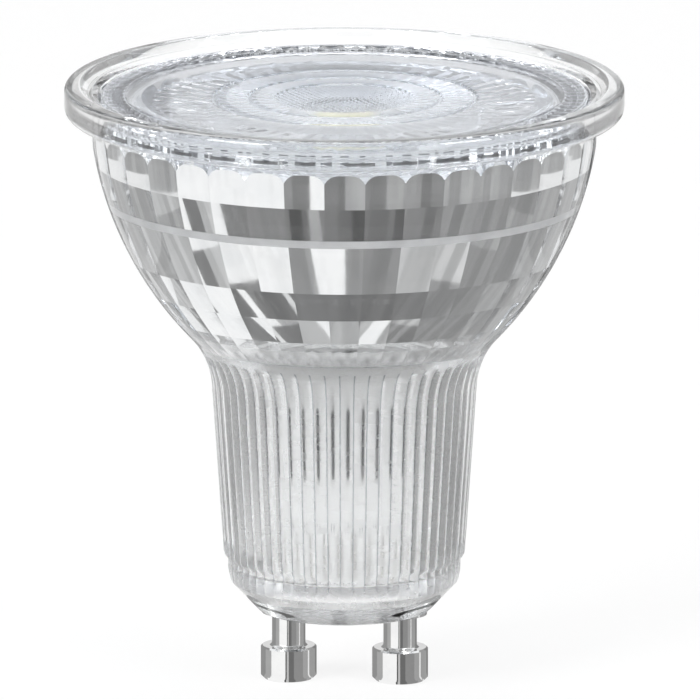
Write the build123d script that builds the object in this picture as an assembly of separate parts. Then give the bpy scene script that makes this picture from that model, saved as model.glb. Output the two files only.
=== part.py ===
from build123d import *
import math
import os

# A two-pin reflector lamp: a pressed glass body with a faceted, silvered bowl and a
# reeded neck, a clear moulded lens at the front, and an LED board and its driver inside.
# All sizes are in mm. The lamp stands on the tips of its pins at z = 0 and points up.

# overall envelope
BODY_R = 25.0
TOTAL_H = 54.4

# contact pins of the twist-and-lock base
PIN_PITCH = 10.0
PIN_HEAD_R = 2.5
PIN_HEAD_H = 3.05
PIN_HEAD_CHAMFER = 0.35
PIN_TOP_CHAMFER = 0.15
PIN_SHANK_R = 1.5
PIN_SHANK_H = 3.0
PIN_ROOT_FILLET = 0.3
PIN_COLLAR_R = 2.4
PIN_COLLAR_H = 0.55
PIN_TAIL_R = 1.4
PIN_TAIL_GAP = 0.05
PIN_RIVET_R = 2.0
PIN_RIVET_H = 0.5
PIN_BORE_DEPTH = 1.6

# foot of the glass, from the seat of the pins up
BASE_FLAT_EDGE = 0.3
BASE_CHAMFER_H = 2.65
BASE_BAND_STEP = 0.2
BASE_EDGE_R = 0.5
BASE_H = 3.6
BASE_THICK = 2.2
FLOOR_EDGE = 0.2

# reeded neck: one row of round reeds that starts with a step and fades into the flare
REEDS = 60
NECK_LOW_R = 10.75
NECK_HIGH_R = 11.83
NECK_BAND_H = 1.1
NECK_BAND_STEP = 0.35
NECK_STEP_H = 0.5
REED_DEPTH = 0.32
REED_BAND_DEPTH = 0.12
REED_FADE_DEPTH = 0.05
REED_FADE_H = 3.5
NECK_LIP = 0.03
NECK_WALL_LOW = 1.85
NECK_WALL_HIGH = 2.23
NECK_BORE_RISE = 1.8

# flare and bowl: radii in from the rim, heights down from the top
FLARE_DROP = 27.4
FLARE_R = 7.6
FLARE_END_DEG = 41.3
BOWL_MID_IN = 5.34
BOWL_MID_DROP = 14.4
BOWL_LEAN = 0.1
BOWL_LIP_H = 2.0

# rim: widths in from the outside, heights down from the top
RIM_H = 2.8
RIM_OVERHANG = 2.34
RIM_ROOT_R = 0.3
RIM_UNDER_R = 0.9
RIM_TOP_R = 0.9
RIM_FLAT_IN = 1.4
RIM_LAND_OUT_IN = 2.13
RIM_LAND_IN_IN = 2.5
RIM_LAND_DROP = 0.65
RIM_SEAT_IN = 3.0
RIM_BORE_IN = 4.9

# faceted inside of the bowl: wall at each level, heights down from the top
FACETS = 36
ROW_1_TOP_DROP = 2.4
ROW_1_TOP_SPARE = 0.17
ROW_2_TOP_DROP = 6.9
ROW_2_TOP_WALL = 2.47
LEDGE_TOP_DROP = 9.8
LEDGE_TOP_WALL = 2.51
LEDGE_INSET = 0.07
LEDGE_H = 0.7
ROW_3_TOP_WALL = 2.94
ROW_4_TOP_DROP = 14.9
ROW_4_TOP_WALL = 2.81
ROW_5_TOP_DROP = 17.55
ROW_5_TOP_WALL = 2.92
ROW_5_LOW_DROP = 19.9
ROW_5_LOW_WALL = 3.09
FLARE_IN_GAP = 0.05
FLARE_IN_DROP = 22.1
FLARE_IN_WALL = 3.36
NECK_IN_DROP = 25.8

# front lens
LENS_SINK = 1.0
LENS_FLANGE_T = 1.5
LENS_CLEAR = 0.25
LENS_STEP_IN = 2.15
LENS_DISH = 0.25
LENS_SPIGOT_GAP = 0.2
LENS_WEB_DROP = 0.2
LENS_WEB_IN = 2.1
TIR_SIDES = 48
TIR_TOP_IN = 0.9
TIR_MID_IN = 5.4
TIR_MID_DROP = 2.4
TIR_LOW_WALL = 0.8
TIR_LED_GAP = 0.2
TIR_CUP_GAP = 0.5
TIR_CUP_TAPER = 0.4
TIR_CUP_H = 2.6
TIR_CUP_DOME = 0.8
EYE_R = 6.2
EYE_DEPTH = 0.15
RING_MID_R = 8.75
RING_OUT_R = 11.9
RING_GROOVE_W = 0.35
RING_GROOVE_D = 0.12

# bead that bonds the lens in the rim
BEAD_DROP = 0.35

# heat spreader, LED board and emitter
SPREADER_CLEAR = 0.1
SPREADER_T = 1.0
PLATEAU_EDGE = 1.4
PLATEAU_RISE = 0.5
BOARD_LED_R = 12.0
BOARD_LED_T = 1.0
DAM_R = 4.1
DAM_IN_R = 3.6
DAM_H = 0.5
PHOSPHOR_H = 0.4

# driver board: upright, its two tongues soldered through the LED board
DRIVER_T = 1.0
DRIVER_BACK_Y = 2.0
DRIVER_NECK_GAP = 1.4
DRIVER_FLOOR_GAP = 0.9
DRIVER_STEP_DROP = 22.4
DRIVER_HIGH_W = 22.0
DRIVER_HIP_DROP = 17.9
TONGUE_X = 9.0
TONGUE_W = 3.0
TONGUE_OUT = 0.6
TONGUE_GAP = 0.1
SOLDER_R = 0.9

# parts on the driver board: those in the neck stand up from the floor, the others hang from the top
CHOKE_R = 1.2
CHOKE_X = -0.75
CHOKE_UP = 9.9
CHOKE_H = 6.4
CHOKE_LIP = 0.25
CHOKE_OFF = 0.1
CHOKE_FOOT_W = 1.6
CHOKE_FOOT_H = 0.9
CHOKE_FOOT_IN = 0.5
CAP_R = 3.15
CAP_UP = 5.8
CAP_TOP_GAP = 0.55
CAP_EDGE_R = 0.45
CAP_GROOVE_UP = 1.6
CAP_GROOVE_D = 0.25
CAP_LEAD_R = 0.25
CAP_LEAD_X = 1.25
CAP_LEAD_DROP = 0.8
LEAD_HOLE_GAP = 0.05
LEAD_OUT = 0.5
BRIDGE_SIZE = (4.7, 2.3, 2.6)
BRIDGE_UP = 2.5
CHIP_SIZE = (4.9, 1.45, 3.9)
CHIP_DROP = 25.4
LEG_W = 0.5
LEG_T = 0.2
LEG_OUT = 0.9
FILM_SIZE = (7.2, 3.5, 6.0)
FILM_DROP = 17.2
FILM_EDGE_R = 0.5
FILM_LEAD_X = 2.5
FUSE_R = 1.25
FUSE_LEN = 6.2
FUSE_DROP = 14.8
FUSE_END_R = 1.5
FUSE_END_LEN = 1.3
FUSE_LEAD_R = 0.3
FUSE_LEAD_REACH = 1.1
DIODE_SIZE = (4.3, 2.1, 2.6)
DIODE_X = 3.0
DIODE_DROP = 20.2
RESISTOR_SIZE = (2.0, 0.55, 1.25)
RESISTOR_X = -3.4
RESISTOR_STEP = 2.2

# supply wires from the pins to the driver board
WIRE_R = 0.45
WIRE_GAP = 0.05
WIRE_BEND_UP = 3.8
WIRE_BEND_R = 0.8
WIRE_OUT = 0.6

# heights of the base and neck that follow from the sizes above
pin_x = PIN_PITCH / 2
collar_z = PIN_HEAD_H + PIN_SHANK_H
base_z = collar_z + PIN_COLLAR_H
band_z = base_z + BASE_CHAMFER_H
neck_start_z = base_z + BASE_H
neck_step_z = neck_start_z + NECK_BAND_H
neck_high_z = TOTAL_H - FLARE_DROP
neck_end_z = neck_high_z + REED_FADE_H
floor_z = base_z + BASE_THICK
pin_tail_top = floor_z + PIN_RIVET_H
neck_in_low_z = floor_z + NECK_BORE_RISE

# radii of the base and neck
base_flat_r = pin_x + PIN_COLLAR_R + BASE_FLAT_EDGE
neck_band_r = NECK_LOW_R - NECK_BAND_STEP
base_band_r = neck_band_r - BASE_BAND_STEP
floor_r = pin_x + PIN_RIVET_R + FLOOR_EDGE
neck_in_low_r = NECK_LOW_R - NECK_WALL_LOW
neck_in_high_r = NECK_HIGH_R - NECK_WALL_HIGH
taper_deg = math.degrees(math.atan2(NECK_HIGH_R - NECK_LOW_R, neck_high_z - neck_step_z))
flare_centre_r = NECK_HIGH_R + FLARE_R * math.cos(math.radians(taper_deg))
flare_centre_z = neck_high_z - FLARE_R * math.sin(math.radians(taper_deg))

# rim and bowl
rim_low_z = TOTAL_H - RIM_H
rim_neck_r = BODY_R - RIM_OVERHANG
seat_r = BODY_R - RIM_SEAT_IN
bore_r = BODY_R - RIM_BORE_IN
flare_end_r = flare_centre_r - FLARE_R * math.cos(math.radians(FLARE_END_DEG))
flare_end_z = flare_centre_z + FLARE_R * math.sin(math.radians(FLARE_END_DEG))
bowl_mid = (BODY_R - BOWL_MID_IN, TOTAL_H - BOWL_MID_DROP)
bowl_top = (rim_neck_r - BOWL_LEAN, rim_low_z - BOWL_LIP_H)
ledge_top_z = TOTAL_H - LEDGE_TOP_DROP
ledge_z = ledge_top_z - LEDGE_H
row_2_top_z = TOTAL_H - ROW_2_TOP_DROP
row_4_top_z = TOTAL_H - ROW_4_TOP_DROP
row_5_top_z = TOTAL_H - ROW_5_TOP_DROP
row_5_low_z = TOTAL_H - ROW_5_LOW_DROP

# lens and LED board
lens_top_z = TOTAL_H - LENS_SINK
lens_seat_z = lens_top_z - LENS_FLANGE_T
lens_web_z = lens_seat_z - LENS_WEB_DROP
lens_r = seat_r - LENS_CLEAR
lens_web_r = bore_r - LENS_WEB_IN
plateau_r = BOARD_LED_R + PLATEAU_EDGE
plateau_z = ledge_z + PLATEAU_RISE + SPREADER_T
led_board_top = plateau_z + BOARD_LED_T

# driver board and what stands on it
driver_front_y = DRIVER_BACK_Y - DRIVER_T
driver_low_z = floor_z + DRIVER_FLOOR_GAP
choke_low_z = floor_z + CHOKE_UP
cap_low_z = floor_z + CAP_UP
bridge_z = floor_z + BRIDGE_UP
wire_bend_z = floor_z + WIRE_BEND_UP
chip_z = TOTAL_H - CHIP_DROP
cap_high_z = chip_z - CHIP_SIZE[2] / 2 - LEG_OUT - CAP_TOP_GAP
film_z = TOTAL_H - FILM_DROP
fuse_z = TOTAL_H - FUSE_DROP
diode_z = TOTAL_H - DIODE_DROP
resistor_z = (chip_z + CHIP_SIZE[2] / 2 + LEG_OUT + film_z - FILM_SIZE[2] / 2) / 2
fuse_lead_x = FUSE_LEN / 2 + FUSE_LEAD_REACH


def flare_r(z):
    """Outside radius of the flare at a height."""
    return flare_centre_r - math.sqrt(FLARE_R**2 - (z - flare_centre_z) ** 2)


def crest_r(z):
    """Outside radius over the reeds at a height."""
    if z > neck_high_z:
        return flare_r(z)
    return NECK_LOW_R + (NECK_HIGH_R - NECK_LOW_R) * (z - neck_step_z) / (neck_high_z - neck_step_z)


def bowl_r(z):
    """Outside radius of the bowl at a height, on the arc through its foot, middle and top."""
    r1, z1 = flare_end_r, flare_end_z
    r2, z2 = bowl_mid
    r3, z3 = bowl_top
    s1, s2, s3 = r1**2 + z1**2, r2**2 + z2**2, r3**2 + z3**2
    turn = 2 * (r1 * (z2 - z3) + r2 * (z3 - z1) + r3 * (z1 - z2))
    centre_r = (s1 * (z2 - z3) + s2 * (z3 - z1) + s3 * (z1 - z2)) / turn
    centre_z = (s1 * (r3 - r2) + s2 * (r1 - r3) + s3 * (r2 - r1)) / turn
    radius = math.hypot(r1 - centre_r, z1 - centre_z)
    return centre_r + math.sqrt(radius**2 - (z - centre_z) ** 2)


def polar(radius, deg):
    """A point on a circle round the lamp's axis."""
    return (radius * math.cos(math.radians(deg)), radius * math.sin(math.radians(deg)))


def turned(points):
    """A solid turned round the lamp's axis from a closed outline of (radius, height) points."""
    outline = Polyline(*points, close=True)
    return revolve(Plane.XZ * make_face(outline), Axis.Z)


def reeded_face(z, crest, depth):
    """A cross-section of the neck: one arc for each reed, crests on multiples of the pitch."""
    pitch = 360 / REEDS
    arcs = []
    for i in range(REEDS):
        a = polar(crest - depth, (i - 0.5) * pitch)
        b = polar(crest, i * pitch)
        c = polar(crest - depth, (i + 0.5) * pitch)
        arcs.append(ThreePointArc(a, b, c))
    return Plane.XY.offset(z) * make_face(arcs)


def faceted_face(z, apothem, sides):
    """A regular polygon whose corners lie on multiples of its pitch from the x axis."""
    corner = apothem / math.cos(math.pi / sides)
    points = [polar(corner, i * 360 / sides) for i in range(sides)]
    return Plane.XY.offset(z) * make_face(Polyline(*points, close=True))


def disc(radius, low, high, x=0.0, y=0.0):
    """An upright cylinder between two heights."""
    return Pos(x, y, low) * Cylinder(radius, high - low, align=(Align.CENTER, Align.CENTER, Align.MIN))


def block(size, x, y, z):
    """A box centred on x and z whose near face in y is at y."""
    return Pos(x, y, z) * Box(*size, align=(Align.CENTER, Align.MIN, Align.CENTER))


def rod_y(radius, x, z, low, high):
    """A cylinder that runs along y."""
    length = high - low
    return Pos(x, low + length / 2, z) * Rot(90, 0, 0) * Cylinder(radius, length)


def glass_body():
    """The pressed glass: foot, reeded neck, flare, faceted bowl and rim in one piece."""
    foot_face = make_face(
        Polyline(
            (0, base_z),
            (base_flat_r, base_z),
            (base_band_r, band_z),
            (neck_band_r + NECK_LIP, neck_start_z),
            (0, neck_start_z),
            close=True,
        )
    )
    soft = foot_face.vertices().sort_by(Axis.X)[2:4]
    foot = revolve(Plane.XZ * fillet(soft, BASE_EDGE_R), Axis.Z)

    reeds_z = neck_step_z + NECK_STEP_H
    fade_z = (neck_high_z + neck_end_z) / 2
    neck = loft(
        [
            reeded_face(neck_start_z, neck_band_r, REED_FADE_DEPTH),
            reeded_face(neck_step_z, neck_band_r, REED_BAND_DEPTH),
            reeded_face(reeds_z, crest_r(reeds_z), REED_DEPTH),
            reeded_face(neck_high_z, NECK_HIGH_R, REED_DEPTH),
            reeded_face(fade_z, crest_r(fade_z), REED_DEPTH * 0.8),
            reeded_face(neck_end_z, crest_r(neck_end_z) - NECK_LIP, REED_FADE_DEPTH),
        ],
        ruled=True,
    )

    flare_start = (crest_r(neck_end_z), neck_end_z)
    flare_mid_z = (neck_end_z + flare_end_z) / 2
    flare_end = (flare_end_r, flare_end_z)
    outline = [
        Polyline((0, TOTAL_H), (0, neck_end_z), flare_start),
        ThreePointArc(flare_start, (flare_r(flare_mid_z), flare_mid_z), flare_end),
        ThreePointArc(flare_end, bowl_mid, bowl_top),
        Polyline(bowl_top, (rim_neck_r, rim_low_z), (BODY_R, rim_low_z), (BODY_R, TOTAL_H), (0, TOTAL_H)),
    ]
    head_face = make_face(outline)
    for corner, radius in (
        ((BODY_R, TOTAL_H), RIM_TOP_R),
        ((BODY_R, rim_low_z), RIM_UNDER_R),
        ((rim_neck_r, rim_low_z), RIM_ROOT_R),
    ):
        head_face = fillet(head_face.vertices().sort_by_distance(corner)[0], radius)
    head = revolve(Plane.XZ * head_face, Axis.Z)

    body = foot + neck + head - glass_hollow()
    for side in (-1, 1):
        body -= disc(PIN_TAIL_R + PIN_TAIL_GAP, base_z - 1, floor_z + 1, side * pin_x)
    return body


def glass_hollow():
    """The inside of the glass: lens seat, five rows of facets, ledge, flare and neck bore."""
    land_z = TOTAL_H - RIM_LAND_DROP
    seat = turned(
        [
            (0, lens_seat_z),
            (seat_r, lens_seat_z),
            (seat_r, lens_top_z),
            (BODY_R - RIM_LAND_IN_IN, land_z),
            (BODY_R - RIM_LAND_OUT_IN, land_z),
            (BODY_R - RIM_FLAT_IN, TOTAL_H),
            (BODY_R - RIM_FLAT_IN, TOTAL_H + 1),
            (0, TOTAL_H + 1),
        ]
    )
    ledge_top_a = bowl_r(ledge_top_z) - LEDGE_TOP_WALL
    upper_rows = loft(
        [
            faceted_face(ledge_top_z, ledge_top_a, FACETS),
            faceted_face(row_2_top_z, bowl_r(row_2_top_z) - ROW_2_TOP_WALL, FACETS),
            faceted_face(TOTAL_H - ROW_1_TOP_DROP, bore_r + ROW_1_TOP_SPARE, FACETS),
        ],
        ruled=True,
    )
    upper_rows = upper_rows & disc(bore_r, ledge_top_z, lens_seat_z)
    row_5_low_a = bowl_r(row_5_low_z) - ROW_5_LOW_WALL
    lower_rows = loft(
        [
            faceted_face(row_5_low_z, row_5_low_a, FACETS),
            faceted_face(row_5_top_z, bowl_r(row_5_top_z) - ROW_5_TOP_WALL, FACETS),
            faceted_face(row_4_top_z, bowl_r(row_4_top_z) - ROW_4_TOP_WALL, FACETS),
            faceted_face(ledge_z, bowl_r(ledge_z) - ROW_3_TOP_WALL, FACETS),
        ],
        ruled=True,
    )
    flare_in_z = TOTAL_H - FLARE_IN_DROP
    neck_bore = turned(
        [
            (0, floor_z),
            (floor_r, floor_z),
            (neck_in_low_r, neck_in_low_z),
            (neck_in_high_r, TOTAL_H - NECK_IN_DROP),
            (bowl_r(flare_in_z) - FLARE_IN_WALL, flare_in_z),
            (row_5_low_a - FLARE_IN_GAP, row_5_low_z),
            (0, row_5_low_z),
        ]
    )
    return lower_rows + disc(ledge_r(), ledge_z, ledge_top_z) + upper_rows + neck_bore + seat


def ledge_r():
    """Radius of the recess over the ledge that carries the heat spreader."""
    return bowl_r(ledge_top_z) - LEDGE_TOP_WALL - LEDGE_INSET


def front_lens():
    """The clear lens: a flanged plate with a fluted collimator under it and an eye in the middle."""
    floor = lens_top_z - LENS_DISH
    step_r = lens_r - LENS_STEP_IN
    plate = turned(
        [
            (0, lens_web_z),
            (lens_web_r, lens_web_z),
            (bore_r - LENS_SPIGOT_GAP, lens_seat_z),
            (lens_r, lens_seat_z),
            (lens_r, lens_top_z),
            (step_r, lens_top_z),
            (step_r - LENS_DISH, floor),
            (0, floor),
        ]
    )
    cup_r = DAM_R + TIR_CUP_GAP
    cup_top_r = cup_r - TIR_CUP_TAPER
    low_z = led_board_top + DAM_H + TIR_LED_GAP
    horn = loft(
        [
            faceted_face(low_z, cup_r + TIR_LOW_WALL, TIR_SIDES),
            faceted_face(lens_web_z - TIR_MID_DROP, lens_web_r - TIR_MID_IN, TIR_SIDES),
            faceted_face(lens_web_z, lens_web_r - TIR_TOP_IN, TIR_SIDES),
        ],
        ruled=True,
    )
    cup_top = low_z + TIR_CUP_H
    dome_r = (cup_top_r**2 + TIR_CUP_DOME**2) / (2 * TIR_CUP_DOME)
    dome_low = cup_top - TIR_CUP_DOME
    half = cup_top_r / 2
    dome_mid = (half, dome_low + dome_r - math.sqrt(dome_r**2 - half**2))
    cup_outline = [
        Polyline((0, dome_low), (0, low_z - 1), (cup_r, low_z - 1), (cup_top_r, cup_top)),
        ThreePointArc((cup_top_r, cup_top), dome_mid, (0, dome_low)),
    ]
    cup = revolve(Plane.XZ * make_face(cup_outline), Axis.Z)
    lens = plate + horn - cup
    lens -= disc(EYE_R, floor - EYE_DEPTH, floor + 1)
    for radius in (RING_MID_R, RING_OUT_R):
        ring = disc(radius, floor - RING_GROOVE_D, floor + 1)
        lens -= ring - disc(radius - RING_GROOVE_W, floor - RING_GROOVE_D, floor + 1)
    return lens


def lens_bead():
    """The clear bead of sealant that fills the gap between the lens and the rim."""
    return turned(
        [
            (lens_r, lens_seat_z),
            (seat_r, lens_seat_z),
            (seat_r, lens_top_z - BEAD_DROP / 2),
            (lens_r, lens_top_z - BEAD_DROP),
        ]
    )


def contact_pin(side):
    """A turned pin: head, shank, collar under the glass, and a tail riveted over inside."""
    face = make_face(
        Polyline(
            (0, 0),
            (PIN_HEAD_R - PIN_HEAD_CHAMFER, 0),
            (PIN_HEAD_R, PIN_HEAD_CHAMFER),
            (PIN_HEAD_R, PIN_HEAD_H - PIN_TOP_CHAMFER),
            (PIN_HEAD_R - PIN_TOP_CHAMFER, PIN_HEAD_H),
            (PIN_SHANK_R, PIN_HEAD_H),
            (PIN_SHANK_R, collar_z),
            (PIN_COLLAR_R, collar_z),
            (PIN_COLLAR_R, base_z),
            (PIN_TAIL_R, base_z),
            (PIN_TAIL_R, floor_z),
            (PIN_RIVET_R, floor_z),
            (PIN_RIVET_R - PIN_RIVET_H / 2, pin_tail_top),
            (WIRE_R + WIRE_GAP, pin_tail_top),
            (WIRE_R + WIRE_GAP, pin_tail_top - PIN_BORE_DEPTH),
            (0, pin_tail_top - PIN_BORE_DEPTH),
            close=True,
        )
    )
    root = face.vertices().sort_by_distance((PIN_SHANK_R, PIN_HEAD_H))[0]
    face = fillet(root, PIN_ROOT_FILLET)
    pin = revolve(Plane.XZ * face, Axis.Z)
    return Pos(side * pin_x, 0, 0) * pin


def heat_spreader():
    """The pressed aluminium plate that rests on the ledge in the bowl and carries the LED board."""
    spreader_r = ledge_r() - SPREADER_CLEAR
    plate = turned(
        [
            (0, ledge_z + PLATEAU_RISE),
            (plateau_r, ledge_z + PLATEAU_RISE),
            (plateau_r + PLATEAU_RISE, ledge_z),
            (spreader_r, ledge_z),
            (spreader_r, ledge_z + SPREADER_T),
            (plateau_r + PLATEAU_RISE, ledge_z + SPREADER_T),
            (plateau_r, plateau_z),
            (0, plateau_z),
        ]
    )
    return plate - tongue_slots(ledge_z, plateau_z)


def tongue_slots(low, high):
    """Slots for the two tongues of the driver board."""
    slots = None
    for side in (-1, 1):
        slot = block(
            (TONGUE_W + 2 * TONGUE_GAP, DRIVER_T + 2 * TONGUE_GAP, high - low + 2),
            side * TONGUE_X,
            driver_front_y - TONGUE_GAP,
            (low + high) / 2,
        )
        slots = slot if slots is None else slots + slot
    return slots


def led_board():
    """The round white board that carries the emitter."""
    return disc(BOARD_LED_R, plateau_z, led_board_top) - tongue_slots(plateau_z, led_board_top)


def led_dam():
    """The white ring round the phosphor."""
    ring = disc(DAM_R, led_board_top, led_board_top + DAM_H)
    ring -= disc(DAM_IN_R, led_board_top, led_board_top + DAM_H)
    return chamfer(ring.edges().group_by(Axis.Z)[-1].sort_by(SortBy.RADIUS)[-1], DAM_H / 3)


def led_phosphor():
    """The yellow phosphor over the chips."""
    return disc(DAM_IN_R, led_board_top, led_board_top + PHOSPHOR_H)


def driver_board():
    """The upright board, narrow in the neck and wide in the bowl, with its two tongues on top."""
    shoulder_z = ledge_z + PLATEAU_RISE
    low = neck_in_low_r - DRIVER_NECK_GAP
    high = DRIVER_HIGH_W / 2
    step_z = TOTAL_H - DRIVER_STEP_DROP
    hip_z = TOTAL_H - DRIVER_HIP_DROP
    outline = Polyline(
        (-low, driver_low_z),
        (low, driver_low_z),
        (low, step_z),
        (high, hip_z),
        (high, shoulder_z),
        (-high, shoulder_z),
        (-high, hip_z),
        (-low, step_z),
        close=True,
    )
    board = extrude(Plane.XZ.offset(-DRIVER_BACK_Y) * make_face(outline), DRIVER_T)
    top = led_board_top + TONGUE_OUT
    for side in (-1, 1):
        board += block((TONGUE_W, DRIVER_T, top - shoulder_z), side * TONGUE_X, driver_front_y, (top + shoulder_z) / 2)
    holes = [(side * pin_x, wire_bend_z, WIRE_R + WIRE_GAP) for side in (-1, 1)]
    holes += [(side * CAP_LEAD_X, cap_low_z - CAP_LEAD_DROP, CAP_LEAD_R + LEAD_HOLE_GAP) for side in (-1, 1)]
    holes += [(side * FILM_LEAD_X, film_z, CAP_LEAD_R + LEAD_HOLE_GAP) for side in (-1, 1)]
    holes += [(side * fuse_lead_x, fuse_z, FUSE_LEAD_R + LEAD_HOLE_GAP) for side in (-1, 1)]
    for x, z, radius in holes:
        board -= rod_y(radius, x, z, driver_front_y - 1, DRIVER_BACK_Y + 1)
    return board


def solder_joint(side):
    """The fillet of solder on the inner face of a tongue, on the LED board."""
    top = led_board_top + TONGUE_OUT
    face = make_face(
        Polyline(
            (driver_front_y, led_board_top),
            (driver_front_y, top),
            (driver_front_y - SOLDER_R, led_board_top),
            close=True,
        )
    )
    wedge = extrude(Plane.YZ * face, TONGUE_W)
    return Pos(side * TONGUE_X - TONGUE_W / 2, 0, 0) * wedge


def choke():
    """The slim moulded choke upright on the front of the board, on a foot at each end."""
    y = driver_front_y - CHOKE_OFF - CHOKE_R
    body = disc(CHOKE_R, choke_low_z, choke_low_z + CHOKE_H, CHOKE_X, y)
    body = chamfer(body.edges().filter_by(GeomType.CIRCLE), CHOKE_LIP)
    foot_z = CHOKE_FOOT_IN + CHOKE_FOOT_H / 2
    for z in (choke_low_z + foot_z, choke_low_z + CHOKE_H - foot_z):
        body += block((CHOKE_FOOT_W, CHOKE_R + CHOKE_OFF, CHOKE_FOOT_H), CHOKE_X, y, z)
    return body


def bent_lead(radius, x, y, high, low, end_y):
    """A wire that drops from a component and turns along y into the board."""
    bend = 2.5 * radius
    path = FilletPolyline((x, y, high), (x, y, low), (x, end_y, low), radius=bend)
    return sweep(Plane(origin=(x, y, high), z_dir=(0, 0, -1)) * Circle(radius), path)


def bulk_capacitor():
    """The can of the smoothing capacitor behind the board."""
    y = DRIVER_BACK_Y + CAP_R
    can = disc(CAP_R, cap_low_z, cap_high_z, 0, y)
    can = fillet(can.edges().filter_by(GeomType.CIRCLE), CAP_EDGE_R)
    groove = turned(
        [
            (CAP_R - CAP_GROOVE_D, 0),
            (CAP_R + CAP_GROOVE_D, -2 * CAP_GROOVE_D),
            (CAP_R + CAP_GROOVE_D, 2 * CAP_GROOVE_D),
        ]
    )
    can -= Pos(0, y, cap_low_z + CAP_GROOVE_UP) * groove
    drop_z = cap_low_z - CAP_LEAD_DROP
    for side in (-1, 1):
        x = side * CAP_LEAD_X
        can += bent_lead(CAP_LEAD_R, x, y, cap_low_z + CAP_EDGE_R, drop_z, driver_front_y - LEAD_OUT)
    return can


def legged_package(size, z, legs):
    """A moulded package flat on the board with gull-wing legs on both long edges."""
    face_y = DRIVER_BACK_Y
    body = block((size[0], size[1] - LEG_T, size[2]), 0, face_y + LEG_T, z)
    body = chamfer(body.edges().group_by(Axis.Y)[-1], LEG_T)
    step = size[0] / legs
    for i in range(legs):
        x = (i - (legs - 1) / 2) * step
        for up in (-1, 1):
            edge = z + up * size[2] / 2
            foot = block((LEG_W, LEG_T, LEG_OUT), x, face_y, edge + up * LEG_OUT / 2)
            riser = block((LEG_W, size[1] / 2, LEG_T), x, face_y, edge + up * LEG_T / 2)
            body += foot + riser
    return body


def bridge_rectifier():
    """The four-legged bridge rectifier at the foot of the board."""
    return legged_package(BRIDGE_SIZE, bridge_z, 2)


def driver_chip():
    """The eight-legged driver chip above the capacitor."""
    return legged_package(CHIP_SIZE, chip_z, 4)


def film_capacitor():
    """The dipped film capacitor behind the wide part of the board."""
    body = block(FILM_SIZE, 0, DRIVER_BACK_Y, film_z)
    body = fillet(body.edges().group_by(Axis.Y)[-1], FILM_EDGE_R)
    for side in (-1, 1):
        body += rod_y(CAP_LEAD_R, side * FILM_LEAD_X, film_z, driver_front_y - LEAD_OUT, DRIVER_BACK_Y + FILM_EDGE_R)
    return body


def fuse_resistor():
    """The fusible resistor across the front of the wide part of the board."""
    y = driver_front_y - FUSE_END_R
    body = Pos(0, y, fuse_z) * Rot(0, 90, 0) * Cylinder(FUSE_R, FUSE_LEN)
    for side in (-1, 1):
        end_x = side * (FUSE_LEN - FUSE_END_LEN) / 2
        cap = Pos(end_x, y, fuse_z) * Rot(0, 90, 0) * Cylinder(FUSE_END_R, FUSE_END_LEN)
        body += chamfer(cap.edges().filter_by(GeomType.CIRCLE), FUSE_END_R - FUSE_R)
        inner = side * (FUSE_LEN - FUSE_END_LEN) / 2
        x = side * fuse_lead_x
        path = FilletPolyline((inner, y, fuse_z), (x, y, fuse_z), (x, DRIVER_BACK_Y + LEAD_OUT, fuse_z), radius=0.75)
        body += sweep(Plane(origin=(inner, y, fuse_z), z_dir=(side, 0, 0)) * Circle(FUSE_LEAD_R), path)
    return body


def output_diode():
    """The moulded output diode on the front of the board."""
    y = driver_front_y - DIODE_SIZE[1]
    body = block(DIODE_SIZE, DIODE_X, y, diode_z)
    return chamfer(body.edges().group_by(Axis.Y)[0], LEG_T)


def chip_resistor(step):
    """A chip resistor behind the board, between the driver chip and the film capacitor."""
    x = RESISTOR_X + step * (RESISTOR_SIZE[0] + RESISTOR_STEP / 2)
    return block(RESISTOR_SIZE, x, DRIVER_BACK_Y, resistor_z)


def supply_lead(side):
    """The wire from the tail of a pin up and through the driver board."""
    start = pin_tail_top - PIN_BORE_DEPTH
    path = FilletPolyline(
        (side * pin_x, 0, start),
        (side * pin_x, 0, wire_bend_z),
        (side * pin_x, DRIVER_BACK_Y + WIRE_OUT, wire_bend_z),
        radius=WIRE_BEND_R,
    )
    return sweep(Plane(origin=(side * pin_x, 0, start)) * Circle(WIRE_R), path)


os.makedirs("parts", exist_ok=True)
export_step(glass_body(), "parts/glass_body.step")
export_step(front_lens(), "parts/front_lens.step")
export_step(lens_bead(), "parts/lens_bead.step")
export_step(heat_spreader(), "parts/heat_spreader.step")
export_step(led_board(), "parts/led_board.step")
export_step(led_dam(), "parts/led_dam.step")
export_step(led_phosphor(), "parts/led_phosphor.step")
export_step(driver_board(), "parts/driver_board.step")
export_step(solder_joint(-1), "parts/solder_joint_left.step")
export_step(solder_joint(1), "parts/solder_joint_right.step")
export_step(choke(), "parts/choke.step")
export_step(bulk_capacitor(), "parts/bulk_capacitor.step")
export_step(bridge_rectifier(), "parts/bridge_rectifier.step")
export_step(driver_chip(), "parts/driver_chip.step")
export_step(film_capacitor(), "parts/film_capacitor.step")
export_step(fuse_resistor(), "parts/fuse_resistor.step")
export_step(output_diode(), "parts/output_diode.step")
export_step(chip_resistor(0), "parts/chip_resistor_left.step")
export_step(chip_resistor(1), "parts/chip_resistor_middle.step")
export_step(chip_resistor(2), "parts/chip_resistor_right.step")
export_step(supply_lead(-1), "parts/supply_lead_left.step")
export_step(supply_lead(1), "parts/supply_lead_right.step")
export_step(contact_pin(-1), "parts/contact_pin_left.step")
export_step(contact_pin(1), "parts/contact_pin_right.step")
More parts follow.
